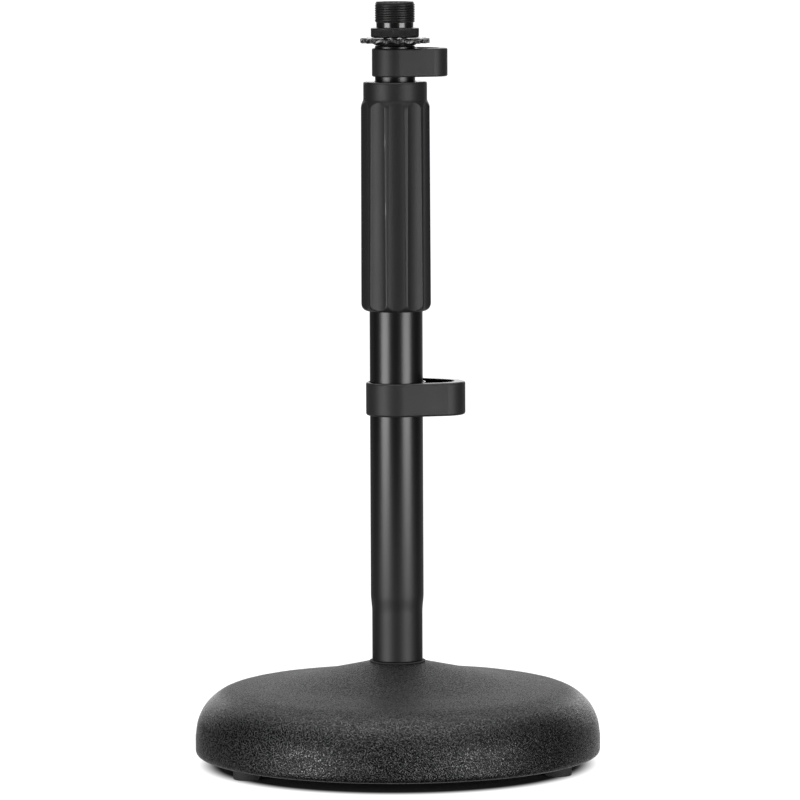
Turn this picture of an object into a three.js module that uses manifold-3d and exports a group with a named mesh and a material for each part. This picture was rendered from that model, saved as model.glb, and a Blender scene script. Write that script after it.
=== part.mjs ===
// Desktop microphone stand: a cast iron base on three rubber feet, a fixed outer tube, a sliding
// inner tube held by a quarter-turn clutch, a threaded top and two clips for the cable.
// Millimetres, +Z up. The origin is on the floor, under the middle of the base.

import * as THREE from 'three';
import { mergeVertices } from 'three/addons/utils/BufferGeometryUtils.js';
import Module from 'manifold-3d';

const wasm = await Module();
wasm.setup();

// ---- Driving dimensions ----

const GAP = 0.2; // running clearance between neighbouring pieces
const TUBE_SIDES = 36; // facets around tubes and small turned pieces
const SMALL_SIDES = 24; // facets around feet and bolt
const BASE_SIDES = 64; // facets around the base
const ARC_STEPS = 3; // facets along a rounded edge

const BASE_RADIUS = 81.2;
const RIM_BOTTOM = 4.4; // the rim stands this far off the floor, on the feet
const RIM_WALL = 5.6;
const RIM_CORNER = 3;
const RIM_INSIDE_TOP = 20; // the inside of the rim leans in by its draft up to here
const RIM_DRAFT = 2;
const SHELL_WALL = 5.2;
const HUB_TOP = 41.3;
const HUB_RADIUS = 11.5;
const BOSS_RADIUS = 15; // bolt boss under the hub
const BOSS_BOTTOM = 16;
const BOSS_TOP = 33;
const BOSS_DRAFT = 1;
const BOLT_HOLE = 4.6;
// Radius and height of the crown: a steep rounded edge, then a shallow sweeping cone up to the hub.
const CROWN_KNOTS = [
  [BASE_RADIUS, 12],
  [79.9, 19],
  [76, 25.4],
  [69, 30.1],
  [58, 32],
  [46, 33.6],
  [30, 37.1],
  [HUB_RADIUS, HUB_TOP],
];
const CROWN_STEPS = 14;

const FOOT_RADIUS = 5.2;
const FOOT_CIRCLE = 71.5; // radius of the circle that the feet stand on
const FOOT_ANGLES = [-57, 63, 183]; // degrees from the front, counter-clockwise from above
const FOOT_STEM_RADIUS = 2.7;
const FOOT_STEM_TOP = 12.4;
const FOOT_PAD_TOP = RIM_BOTTOM - GAP;
const FOOT_BOSS_RADIUS = 7.6;
const FOOT_BOSS_TOP = 18;

const BOLT_RADIUS = 4; // M8
const BOLT_HEAD_FLATS = 13;
const BOLT_HEAD_HEIGHT = 5.3;
const BOLT_TOP = 56.5;
const FLAT_WASHER_RADIUS = 8;
const FLAT_WASHER_HEIGHT = 1.6;
const SPRING_WASHER_RADIUS = 7;
const SPRING_WASHER_HEIGHT = 2;
const SPRING_WASHER_SLOT = 1;

const GASKET_RADIUS = 11.2;
const GASKET_HEIGHT = 0.4;

const OUTER_RADIUS = 10.6;
const OUTER_WALL = 1.2;
const OUTER_TOP = 226;
const SWAGE_RADIUS = 10.1; // the outer tube is necked down to this at its foot
const SWAGE_TOP = 68.9;
const SWAGE_BOTTOM = 61.6;
const PLUG_TOP = 60;

const INNER_RADIUS = 8;
const INNER_WALL = 1.1;
const INNER_BOTTOM = 72;
const INNER_TOP = 288;
const BUSH_BORE = 5.5;
const BUSH_FLOOR = 2.5; // the bush closes over the end of the inner tube by this much
const BUSH_SOCKET = 20; // and takes in this length of it

const FERRULE_BOTTOM = 208;
const FERRULE_FLANGE = 2.5;
const FERRULE_THREAD_RADIUS = 9.9;
const FERRULE_TOP = 250;

const COLLET_HEIGHT = 12;
const COLLET_FOOT_RADIUS = 9.6;
const COLLET_TIP_RADIUS = 8.9;
const COLLET_SLOT = 1.6;

const NUT_RADIUS = 11.4;
const NUT_BOTTOM = 231.2;
const NUT_TOP = 266;

const GRIP_BOTTOM = 182.5;
const GRIP_TOP = 273.9;
const GRIP_CREST_RADIUS = 14;
const GRIP_NECK_RADIUS = 13.75; // crest radius just under the collar
const GRIP_COLLAR_RADIUS = 12.7;
const GRIP_COLLAR_BOTTOM = 266.9;
const GRIP_COLLAR_EDGE = 0.8;
const GRIP_SHOULDER = 263.8; // the crests start to run in here ...
const GRIP_FLARE_TOP = 265.6; // ... are this near the collar by here ...
const GRIP_FLARE = 0.4; // ... and meet it at its bottom
const GRIP_HEEL_WIDTH = 2.7; // the lower edge is a quarter of an ellipse
const GRIP_HEEL_HEIGHT = 3.3;
const GRIP_HEEL_STEPS = 4;
const FLUTES = 11;
const FLUTE_DEPTH = 1;
const FLUTE_CUT_RADIUS = 12.4;
const FLUTE_CUT_SIDES = 56;
const RIDGE_ANGLE = 18; // degrees from the front to the first ridge

const STUD_RADIUS = 4.76; // 3/8 inch thread
const STUD_TOP = 303.2;
const STUD_CHAMFER = 0.8;
const STUD_PLUG_BOTTOM = 262;

const WHEEL_RADIUS = 13.8;
const WHEEL_TEETH = 18;
const WHEEL_TOOTH_DEPTH = 1.1;
const WHEEL_BOTTOM = 289.1;
const WHEEL_TOP = 291;
const WHEEL_BOSS_RADIUS = 9.3;
const WHEEL_BOSS_FOOT_RADIUS = 7.8;

const ADAPTER_BOTTOM = 291.4;
const ADAPTER_TOP = 305.5;
const ADAPTER_FLANGE_RADIUS = 9.6;
const ADAPTER_FLANGE_TOP = 295.1;
const ADAPTER_FLANGE_EDGE = 0.3;
const ADAPTER_RELIEF_TOP = 297.3;
const ADAPTER_THREAD_TOP = 305;
const ADAPTER_ROOT_RADIUS = 7.4;
const ADAPTER_THREAD_RADIUS = 7.94; // 5/8 inch, 27 threads per inch
const ADAPTER_PITCH = 25.4 / 27;

// Each clip: the tube that it hugs, its height range and its size against the larger clip.
const LOWER_CLIP = { name: 'lower_cable_clip', tube: OUTER_RADIUS, bottom: 140.7, top: 154, scale: 1 };
const UPPER_CLIP = { name: 'upper_cable_clip', tube: INNER_RADIUS, bottom: 275.8, top: 287.1, scale: 0.757 };
const CLIP_RING_RADIUS = 12.15;
const CLIP_ARC_STEPS = 12;
const CLIP_WALL = 3;
const CLIP_TIP_WALL = 2.2;
const CLIP_FRONT_ANGLE = -75; // degrees: where the flat front wall leaves the ring
const CLIP_BACK_ANGLE = 67; // degrees: where the round end runs out into the back wall
const CLIP_END = { x: 17.3, y: 2.7 }; // middle of the round end
const CLIP_HOLLOW_X = 14.9; // the hollow's own end is rounded about here, so the end wall is thicker
const CLIP_BACK_LENGTH = 12.5;
const CLIP_SNAP_START = 75; // degrees: the ring is open from here ...
const CLIP_SNAP_END = 130; // ... to here, to snap over the tube

// ---- Finishes ----

const paint = (color, roughness, metalness) => () =>
  new THREE.MeshStandardMaterial({ color, roughness, metalness });
const crinkleCoat = paint(0x26272a, 0.62, 0.1);
const glossBlack = paint(0x101113, 0.25, 0.3);
const satinBlack = paint(0x17181a, 0.45, 0.3);
const blackPlastic = paint(0x2b2c2e, 0.55, 0);
const blackRubber = paint(0x141414, 0.9, 0);
const zincSteel = paint(0xb9bcc0, 0.35, 1);
const turnedBrass = paint(0xb58f45, 0.35, 1);
const paleNylon = paint(0xd9d6cc, 0.6, 0);

// ---- Helpers ----

const stand = new THREE.Group();
const radians = THREE.MathUtils.degToRad;

function addPiece(name, geometry, finish) {
  const mesh = new THREE.Mesh(geometry, finish());
  mesh.name = name;
  stand.add(mesh);
  return mesh;
}

// A solid turned about Z. The [radius, height] points run counter-clockwise round its section.
function turned(points, sides = TUBE_SIDES) {
  const profile = points.map(([radius, height]) => new THREE.Vector2(radius, height));
  return new THREE.LatheGeometry(profile, sides).rotateX(Math.PI / 2);
}

// A turned solid with a hole through it, so its section closes on itself.
function turnedRing(points, sides = TUBE_SIDES) {
  return turned([...points, points[0]], sides);
}

function plainRing(outer, inner, bottom, top, sides = TUBE_SIDES) {
  return turnedRing([[inner, bottom], [outer, bottom], [outer, top], [inner, top]], sides);
}

function plainRod(radius, bottom, top, sides = TUBE_SIDES) {
  const rod = new THREE.CylinderGeometry(radius, radius, top - bottom, sides).rotateX(Math.PI / 2);
  return rod.translate(0, 0, (top + bottom) / 2);
}

function toSolid(geometry) {
  const bare = geometry.clone();
  bare.deleteAttribute('normal');
  bare.deleteAttribute('uv');
  const merged = mergeVertices(bare, 1e-4);
  const index = merged.index.array;
  const corners = [];
  for (let i = 0; i < index.length; i += 3) {
    const [a, b, c] = index.slice(i, i + 3);
    if (a !== b && b !== c && c !== a) corners.push(a, b, c);
  }
  return new wasm.Manifold(new wasm.Mesh({
    numProp: 3,
    vertProperties: new Float32Array(merged.attributes.position.array),
    triVerts: new Uint32Array(corners),
  }));
}

function toGeometry(solid) {
  const mesh = solid.getMesh();
  const geometry = new THREE.BufferGeometry();
  geometry.setAttribute('position', new THREE.BufferAttribute(mesh.vertProperties, 3));
  geometry.setIndex(new THREE.BufferAttribute(mesh.triVerts, 1));
  return geometry;
}

// Points of an elliptical arc in a section, from one angle to the other, both in degrees.
function ellipsePoints(centreX, centreY, width, height, from, to, steps) {
  return Array.from({ length: steps + 1 }, (_, i) => {
    const angle = radians(from + ((to - from) * i) / steps);
    return [centreX + width * Math.cos(angle), centreY + height * Math.sin(angle)];
  });
}

function arcPoints(centreX, centreY, radius, from, to) {
  return ellipsePoints(centreX, centreY, radius, radius, from, to, ARC_STEPS);
}

// ---- Base ----

const crown = new THREE.SplineCurve(CROWN_KNOTS.map(([radius, height]) => new THREE.Vector2(radius, height)));

function footPosition(degrees) {
  const angle = radians(degrees);
  return [FOOT_CIRCLE * Math.sin(angle), -FOOT_CIRCLE * Math.cos(angle)];
}

function baseCasting() {
  const rimInside = BASE_RADIUS - RIM_WALL;
  // The hollow's roof runs one wall below the crown, from the hub out to the shoulder.
  const roof = CROWN_KNOTS.slice(3, -1).map(([radius, height]) => [radius, height - SHELL_WALL]).reverse();
  const casting = toSolid(turnedRing([
    [BOLT_HOLE, BOSS_BOTTOM],
    [BOSS_RADIUS - BOSS_DRAFT, BOSS_BOTTOM],
    [BOSS_RADIUS, BOSS_TOP],
    ...roof,
    [rimInside - RIM_DRAFT, RIM_INSIDE_TOP],
    [rimInside, RIM_BOTTOM],
    ...arcPoints(BASE_RADIUS - RIM_CORNER, RIM_BOTTOM + RIM_CORNER, RIM_CORNER, -90, 0),
    ...crown.getPoints(CROWN_STEPS).map((point) => [point.x, point.y]),
    [BOLT_HOLE, HUB_TOP],
  ], BASE_SIDES));
  let drilled = casting;
  for (const angle of FOOT_ANGLES) {
    const [x, y] = footPosition(angle);
    const boss = plainRod(FOOT_BOSS_RADIUS, RIM_BOTTOM, FOOT_BOSS_TOP, SMALL_SIDES).translate(x, y, 0);
    const hole = plainRod(FOOT_STEM_RADIUS + GAP, 0, FOOT_STEM_TOP + GAP, SMALL_SIDES).translate(x, y, 0);
    drilled = drilled.add(toSolid(boss)).subtract(toSolid(hole));
  }
  return toGeometry(drilled);
}

function rubberFoot() {
  const edge = 1;
  return turned([
    [0, 0],
    ...arcPoints(FOOT_RADIUS - edge, edge, edge, -90, 0),
    [FOOT_RADIUS, FOOT_PAD_TOP],
    [FOOT_STEM_RADIUS, FOOT_PAD_TOP],
    [FOOT_STEM_RADIUS, FOOT_STEM_TOP],
    [0, FOOT_STEM_TOP],
  ], SMALL_SIDES);
}

addPiece('base_casting', baseCasting(), crinkleCoat);
FOOT_ANGLES.forEach((angle, i) => {
  const [x, y] = footPosition(angle);
  addPiece(`foot_${i + 1}`, rubberFoot(), blackRubber).position.set(x, y, 0);
});

// ---- Bolt that draws the tube down on the base ----

const flatWasherBottom = BOSS_BOTTOM - GAP - FLAT_WASHER_HEIGHT;
const springWasherBottom = flatWasherBottom - GAP - SPRING_WASHER_HEIGHT;
const boltHeadTop = springWasherBottom - GAP;

function baseBolt() {
  const headRadius = BOLT_HEAD_FLATS / 2 / Math.cos(Math.PI / 6);
  const head = plainRod(headRadius, boltHeadTop - BOLT_HEAD_HEIGHT, boltHeadTop, 6);
  const shank = plainRod(BOLT_RADIUS, boltHeadTop - 1, BOLT_TOP, SMALL_SIDES);
  return toGeometry(toSolid(head).add(toSolid(shank)));
}

// A ring cut through once: a spring washer and a collet are both made this way.
function splitRing(ring, slot, bottom, top) {
  const reach = 2 * OUTER_RADIUS; // past the outside of either ring
  const cutter = new THREE.BoxGeometry(slot, reach, top - bottom + 2);
  cutter.translate(0, reach / 2, (top + bottom) / 2);
  return toGeometry(toSolid(ring).subtract(toSolid(cutter)));
}

const washerBore = BOLT_RADIUS + GAP;
const springWasherTop = springWasherBottom + SPRING_WASHER_HEIGHT;
const wholeWasher = plainRing(SPRING_WASHER_RADIUS, washerBore, springWasherBottom, springWasherTop);
const springWasher = splitRing(wholeWasher, SPRING_WASHER_SLOT, springWasherBottom, springWasherTop);
const flatWasherTop = flatWasherBottom + FLAT_WASHER_HEIGHT;
const flatWasher = plainRing(FLAT_WASHER_RADIUS, washerBore, flatWasherBottom, flatWasherTop);
addPiece('base_bolt', baseBolt(), zincSteel);
addPiece('spring_washer', springWasher, zincSteel);
addPiece('flat_washer', flatWasher, zincSteel);

// ---- Outer tube, fixed to the base ----

const gasketBottom = HUB_TOP + GAP;
const gasketTop = gasketBottom + GASKET_HEIGHT;
const tubeFoot = gasketTop + GAP;
const outerBore = OUTER_RADIUS - OUTER_WALL;
const swageBore = SWAGE_RADIUS - OUTER_WALL;

addPiece('hub_gasket', plainRing(GASKET_RADIUS, BOLT_HOLE, gasketBottom, gasketTop), blackRubber);
addPiece('tube_plug', plainRing(swageBore - GAP, BOLT_RADIUS + GAP, tubeFoot, PLUG_TOP), zincSteel);
addPiece('outer_tube', turnedRing([
  [swageBore, tubeFoot],
  [SWAGE_RADIUS, tubeFoot],
  [SWAGE_RADIUS, SWAGE_BOTTOM],
  [OUTER_RADIUS, SWAGE_TOP],
  [OUTER_RADIUS, OUTER_TOP],
  [outerBore, OUTER_TOP],
  [outerBore, SWAGE_TOP],
  [swageBore, SWAGE_BOTTOM],
]), glossBlack);

// ---- Clutch: threaded ferrule on the outer tube, split collet, and nut inside the grip ----

const ferruleBore = INNER_RADIUS + GAP;
const gripBore = INNER_RADIUS + 2 * GAP;
const flangeBottom = OUTER_TOP + GAP;
const colletBottom = FERRULE_TOP + GAP;
const colletTop = colletBottom + COLLET_HEIGHT;
const colletShoulder = (colletBottom + colletTop) / 2;

addPiece('clutch_ferrule', turnedRing([
  [ferruleBore, FERRULE_BOTTOM],
  [outerBore - GAP, FERRULE_BOTTOM],
  [outerBore - GAP, flangeBottom],
  [OUTER_RADIUS, flangeBottom],
  [OUTER_RADIUS, flangeBottom + FERRULE_FLANGE],
  [FERRULE_THREAD_RADIUS, flangeBottom + FERRULE_FLANGE],
  [FERRULE_THREAD_RADIUS, FERRULE_TOP],
  [ferruleBore, FERRULE_TOP],
]), turnedBrass);

const colletBlank = turnedRing([
  [ferruleBore, colletBottom],
  [COLLET_FOOT_RADIUS, colletBottom],
  [COLLET_FOOT_RADIUS, colletShoulder],
  [COLLET_TIP_RADIUS, colletTop],
  [ferruleBore, colletTop],
]);
addPiece('collet', splitRing(colletBlank, COLLET_SLOT, colletBottom, colletTop), paleNylon);

addPiece('clutch_nut', turnedRing([
  [FERRULE_THREAD_RADIUS + GAP, NUT_BOTTOM],
  [NUT_RADIUS, NUT_BOTTOM],
  [NUT_RADIUS, NUT_TOP],
  [gripBore, NUT_TOP],
  [gripBore, colletTop + GAP],
  [COLLET_TIP_RADIUS + GAP, colletTop + GAP],
  [COLLET_FOOT_RADIUS + GAP, colletShoulder],
  [FERRULE_THREAD_RADIUS + GAP, colletShoulder - 1],
]), turnedBrass);

// ---- Fluted grip ----

// One flute is a straight round-bottomed cut, so it runs out in an arch where the grip narrows.
function fluteCutter(degrees) {
  const offset = GRIP_CREST_RADIUS - FLUTE_DEPTH + FLUTE_CUT_RADIUS;
  const angle = radians(degrees);
  const cutter = plainRod(FLUTE_CUT_RADIUS, GRIP_BOTTOM - 1, GRIP_COLLAR_BOTTOM + 1, FLUTE_CUT_SIDES);
  return toSolid(cutter.translate(offset * Math.sin(angle), -offset * Math.cos(angle), 0));
}

function gripSleeve() {
  const tubeClearance = OUTER_RADIUS + 2 * GAP;
  const nutPocket = NUT_RADIUS + GAP;
  const heelMiddle = GRIP_CREST_RADIUS - GRIP_HEEL_WIDTH;
  const heelTop = GRIP_BOTTOM + GRIP_HEEL_HEIGHT;
  const edgeMiddle = GRIP_COLLAR_RADIUS - GRIP_COLLAR_EDGE;
  const blank = toSolid(turnedRing([
    [tubeClearance, GRIP_BOTTOM],
    ...ellipsePoints(heelMiddle, heelTop, GRIP_HEEL_WIDTH, GRIP_HEEL_HEIGHT, -90, 0, GRIP_HEEL_STEPS),
    [GRIP_NECK_RADIUS, GRIP_SHOULDER],
    [GRIP_COLLAR_RADIUS + GRIP_FLARE, GRIP_FLARE_TOP],
    [GRIP_COLLAR_RADIUS, GRIP_COLLAR_BOTTOM],
    ...arcPoints(edgeMiddle, GRIP_TOP - GRIP_COLLAR_EDGE, GRIP_COLLAR_EDGE, 0, 90),
    [gripBore, GRIP_TOP],
    [gripBore, NUT_TOP + GAP],
    [nutPocket, NUT_TOP + GAP],
    [nutPocket, NUT_BOTTOM - GAP],
    [tubeClearance, NUT_BOTTOM - GAP],
  ], 6 * FLUTES));
  let fluted = blank;
  for (let i = 0; i < FLUTES; i += 1) {
    fluted = fluted.subtract(fluteCutter(RIDGE_ANGLE + ((i + 0.5) * 360) / FLUTES));
  }
  return toGeometry(fluted);
}

addPiece('grip_sleeve', gripSleeve(), blackPlastic);

// ---- Inner tube, its bush and its threaded stud ----

const bushRadius = outerBore - GAP;
const bushBottom = INNER_BOTTOM - BUSH_FLOOR;
const bushTop = INNER_BOTTOM + BUSH_SOCKET;
addPiece('guide_bush', turnedRing([
  [BUSH_BORE, bushBottom],
  [bushRadius, bushBottom],
  [bushRadius, bushTop],
  [INNER_RADIUS + GAP, bushTop],
  [INNER_RADIUS + GAP, INNER_BOTTOM - GAP],
  [BUSH_BORE, INNER_BOTTOM - GAP],
]), paleNylon);

const innerBore = INNER_RADIUS - INNER_WALL;
addPiece('inner_tube', plainRing(INNER_RADIUS, innerBore, INNER_BOTTOM, INNER_TOP), satinBlack);
addPiece('thread_stud', turned([
  [0, STUD_PLUG_BOTTOM],
  [innerBore - GAP, STUD_PLUG_BOTTOM],
  [innerBore - GAP, INNER_TOP],
  [STUD_RADIUS, INNER_TOP],
  [STUD_RADIUS, STUD_TOP - STUD_CHAMFER],
  [STUD_RADIUS - STUD_CHAMFER, STUD_TOP],
  [0, STUD_TOP],
]), zincSteel);

// ---- Toothed lock wheel ----

function wheelOutline() {
  const steps = 6 * WHEEL_TEETH;
  const points = Array.from({ length: steps }, (_, i) => {
    const angle = (2 * Math.PI * i) / steps;
    const radius = WHEEL_RADIUS - (WHEEL_TOOTH_DEPTH / 2) * (1 - Math.cos(WHEEL_TEETH * angle));
    return new THREE.Vector2(radius * Math.cos(angle), radius * Math.sin(angle));
  });
  return new THREE.Shape(points);
}

function lockWheel() {
  const thickness = WHEEL_TOP - WHEEL_BOTTOM;
  const disc = new THREE.ExtrudeGeometry(wheelOutline(), { depth: thickness, bevelEnabled: false });
  const boss = turned([
    [0, INNER_TOP + GAP],
    [WHEEL_BOSS_FOOT_RADIUS, INNER_TOP + GAP],
    [WHEEL_BOSS_RADIUS, WHEEL_BOTTOM],
    [WHEEL_BOSS_RADIUS, WHEEL_BOTTOM + thickness / 2],
    [0, WHEEL_BOTTOM + thickness / 2],
  ]);
  const bore = plainRod(STUD_RADIUS + GAP, INNER_TOP - 1, WHEEL_TOP + 1);
  const body = toSolid(disc.translate(0, 0, WHEEL_BOTTOM)).add(toSolid(boss));
  return toGeometry(body.subtract(toSolid(bore)));
}

addPiece('lock_wheel', lockWheel(), satinBlack);

// ---- Thread adapter: 5/8 inch outside, 3/8 inch inside, with a knurled flange ----

// Thread crests and roots, drawn as separate rings one pitch apart.
function threadRings(bottom, top) {
  const count = Math.floor((top - bottom) / ADAPTER_PITCH);
  const points = [];
  for (let i = 0; i < count; i += 1) {
    const root = bottom + i * ADAPTER_PITCH;
    points.push([ADAPTER_ROOT_RADIUS, root]);
    points.push([ADAPTER_THREAD_RADIUS, root + ADAPTER_PITCH / 2]);
  }
  points.push([ADAPTER_ROOT_RADIUS, bottom + count * ADAPTER_PITCH]);
  return points;
}

const adapterBore = STUD_RADIUS + GAP;
addPiece('thread_adapter', turnedRing([
  [adapterBore, ADAPTER_BOTTOM],
  [ADAPTER_FLANGE_RADIUS - ADAPTER_FLANGE_EDGE, ADAPTER_BOTTOM],
  [ADAPTER_FLANGE_RADIUS, ADAPTER_BOTTOM + 2 * ADAPTER_FLANGE_EDGE],
  [ADAPTER_FLANGE_RADIUS, ADAPTER_FLANGE_TOP - ADAPTER_FLANGE_EDGE],
  [ADAPTER_FLANGE_RADIUS - ADAPTER_FLANGE_EDGE, ADAPTER_FLANGE_TOP],
  [ADAPTER_ROOT_RADIUS, ADAPTER_FLANGE_TOP],
  ...threadRings(ADAPTER_RELIEF_TOP, ADAPTER_THREAD_TOP),
  [ADAPTER_ROOT_RADIUS, ADAPTER_TOP],
  [adapterBore, ADAPTER_TOP],
]), glossBlack);

// ---- Cable clips ----

// Seen from above: a ring that snaps over the tube, a flat front wall that leaves it at a tangent,
// a round end, and a free back wall that flares away to let the cable in.
function clipShape({ tube, scale }) {
  const ring = CLIP_RING_RADIUS * scale;
  const bore = tube + GAP;
  const wall = CLIP_WALL * scale;
  const tipWall = CLIP_TIP_WALL * scale;
  const endX = CLIP_END.x * scale;
  const endY = CLIP_END.y * scale;
  const front = radians(CLIP_FRONT_ANGLE);
  const back = radians(CLIP_BACK_ANGLE);
  const hollowX = CLIP_HOLLOW_X * scale;
  const endRadius = ring - (endX * Math.cos(front) + endY * Math.sin(front));
  const hollowRadius = ring - wall - (hollowX * Math.cos(front) + endY * Math.sin(front));
  const tailX = -Math.sin(back) * CLIP_BACK_LENGTH * scale;
  const tailY = Math.cos(back) * CLIP_BACK_LENGTH * scale;
  const tipX = endX + endRadius * Math.cos(back) + tailX;
  const tipY = endY + endRadius * Math.sin(back) + tailY;
  const innerStart = front + Math.acos((ring - wall) / ring);
  const shape = new THREE.Shape();
  shape.absarc(0, 0, ring, radians(CLIP_SNAP_END - 360), front, false);
  shape.absarc(endX, endY, endRadius, front, back, false);
  shape.lineTo(tipX, tipY);
  shape.lineTo(tipX - tipWall * Math.cos(back), tipY - tipWall * Math.sin(back));
  shape.absarc(hollowX, endY, hollowRadius, back, front, true);
  shape.absarc(0, 0, ring, innerStart, radians(CLIP_SNAP_START), false);
  shape.absarc(0, 0, bore, radians(CLIP_SNAP_START), radians(CLIP_SNAP_END - 360), true);
  return shape;
}

for (const clip of [LOWER_CLIP, UPPER_CLIP]) {
  const extrusion = { depth: clip.top - clip.bottom, bevelEnabled: false, curveSegments: CLIP_ARC_STEPS };
  const loop = new THREE.ExtrudeGeometry(clipShape(clip), extrusion);
  addPiece(clip.name, loop, blackPlastic).position.z = clip.bottom;
}

export default stand;
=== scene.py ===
"""Looks of the desktop microphone stand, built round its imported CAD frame.

Lengths in sections and outlines are in millimetres, as in the CAD; everything handed to Blender is in
metres. +Z is up, -Y is the front, and the tubes stand on the Z axis.
"""
import math

import bmesh
import bpy
from mathutils import Matrix, Vector, noise


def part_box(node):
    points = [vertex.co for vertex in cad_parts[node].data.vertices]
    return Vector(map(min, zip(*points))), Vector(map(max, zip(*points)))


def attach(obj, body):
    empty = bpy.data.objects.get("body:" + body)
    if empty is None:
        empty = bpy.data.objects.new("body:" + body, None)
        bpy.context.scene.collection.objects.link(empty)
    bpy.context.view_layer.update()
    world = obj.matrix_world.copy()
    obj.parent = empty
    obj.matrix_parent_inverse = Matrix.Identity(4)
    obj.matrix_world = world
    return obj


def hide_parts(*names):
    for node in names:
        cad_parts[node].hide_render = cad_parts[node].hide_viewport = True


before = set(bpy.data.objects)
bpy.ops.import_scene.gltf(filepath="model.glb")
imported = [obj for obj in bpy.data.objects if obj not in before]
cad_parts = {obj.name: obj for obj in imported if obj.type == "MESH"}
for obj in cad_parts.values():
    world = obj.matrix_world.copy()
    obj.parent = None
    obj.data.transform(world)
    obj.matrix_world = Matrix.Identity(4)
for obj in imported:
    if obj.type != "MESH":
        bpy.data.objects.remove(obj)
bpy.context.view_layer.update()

MM = 0.001
TAU = 2 * math.pi
UP = Vector((0, 0, 1))
EDGE_MARGIN = 1.2  # a flat's own shading starts this much past the reach of the rounding beside it
HAIRLINE = 0.01
CLEARANCE = 0.2  # gap between neighbouring pieces, in mm, where one is turned to fit the other


# ---- Sizes read from the frame ----

def extent(node):
    """Lowest height, highest height and largest radius of a turned node, in mm."""
    low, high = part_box(node)
    return low[2] / MM, high[2] / MM, (high[0] - low[0]) / 2 / MM


def middle(node):
    """Where a node stands on the floor plan, in metres."""
    low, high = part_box(node)
    return Vector(((low[0] + high[0]) / 2, (low[1] + high[1]) / 2, 0))


# ---- Sections and outlines ----

def rounded(corners, steps=4):
    """A closed outline with rounded corners. Each corner is (x, y, rounding); x may be a radius."""
    points = []
    for i, (x, y, rounding) in enumerate(corners):
        here = Vector((x, y))
        if rounding <= 0:
            points.append(here)
            continue
        back = Vector(corners[i - 1][:2]) - here
        ahead = Vector(corners[(i + 1) % len(corners)][:2]) - here
        reach = min(rounding, 0.4 * back.length, 0.4 * ahead.length)
        start = here + back.normalized() * reach
        end = here + ahead.normalized() * reach
        # The extra point on each side keeps the shading of the flat part flat.
        points.append(here + back.normalized() * reach * EDGE_MARGIN)
        for step in range(steps + 1):
            t = step / steps
            points.append(start * (1 - t) ** 2 + here * 2 * t * (1 - t) + end * t ** 2)
        points.append(here + ahead.normalized() * reach * EDGE_MARGIN)
    return [(p.x, p.y) for p in points]


def catmull(knots, steps):
    """Points of a smooth curve through the knots."""
    points = []
    last = len(knots) - 1
    for i in range(steps + 1):
        at = last * i / steps
        k = min(int(at), last - 1)
        t = at - k
        a, b, c, d = (Vector(knots[min(max(k + j, 0), last)]) for j in (-1, 0, 1, 2))
        p = b * 2 + (c - a) * t + (a * 2 - b * 5 + c * 4 - d) * t ** 2 + (b * 3 - a - c * 3 + d) * t ** 3
        points.append((p.x / 2, p.y / 2))
    return points


def arc(centre_x, centre_y, radius, start, end, steps):
    """Points of an arc, its angles in degrees."""
    angles = (math.radians(start + (end - start) * i / steps) for i in range(steps + 1))
    return [(centre_x + radius * math.cos(a), centre_y + radius * math.sin(a)) for a in angles]


def split(start, end, parts):
    """Points between two section points, both ends left out."""
    a, b = Vector(start), Vector(end)
    return [tuple(a.lerp(b, i / parts)) for i in range(1, parts)]


def smoothstep(t):
    """Eases from 0 to 1, and stays there outside that range."""
    t = min(max(t, 0.0), 1.0)
    return t * t * (3 - 2 * t)


# ---- Meshes ----

def finish_mesh(name, mesh, sharp_degrees=50):
    """Shades a mesh smooth except over its sharp edges, and puts it in the scene."""
    mesh.polygons.foreach_set("use_smooth", [True] * len(mesh.polygons))
    mesh.set_sharp_from_angle(angle=math.radians(sharp_degrees))
    mesh.update()
    obj = bpy.data.objects.new(name, mesh)
    bpy.context.scene.collection.objects.link(obj)
    return obj


def revolve(name, section, segments, shape=None, place=Vector((0, 0, 0)), sharp_degrees=50):
    """Turns a closed section about Z. The section runs counter-clockwise in (radius, height), in mm.

    shape(angle, radius, height, index) may return another radius and height for one point."""
    count = len(section)
    points = []
    for i in range(segments):
        angle = TAU * i / segments
        for j, (radius, height) in enumerate(section):
            r, z = shape(angle, radius, height, j) if shape else (radius, height)
            points.append((r * MM * math.cos(angle) + place.x, r * MM * math.sin(angle) + place.y, z * MM))
    faces = []
    for i in range(segments):
        this, following = i * count, (i + 1) % segments * count
        for j in range(count):
            k = (j + 1) % count
            if section[j][0] > 0 or section[k][0] > 0:
                faces.append((this + j, following + j, following + k, this + k))
    mesh = bpy.data.meshes.new(name)
    mesh.from_pydata(points, [], faces)
    work = bmesh.new()
    work.from_mesh(mesh)
    bmesh.ops.remove_doubles(work, verts=work.verts, dist=1e-7)
    work.to_mesh(mesh)
    work.free()
    return finish_mesh(name, mesh, sharp_degrees)


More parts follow.
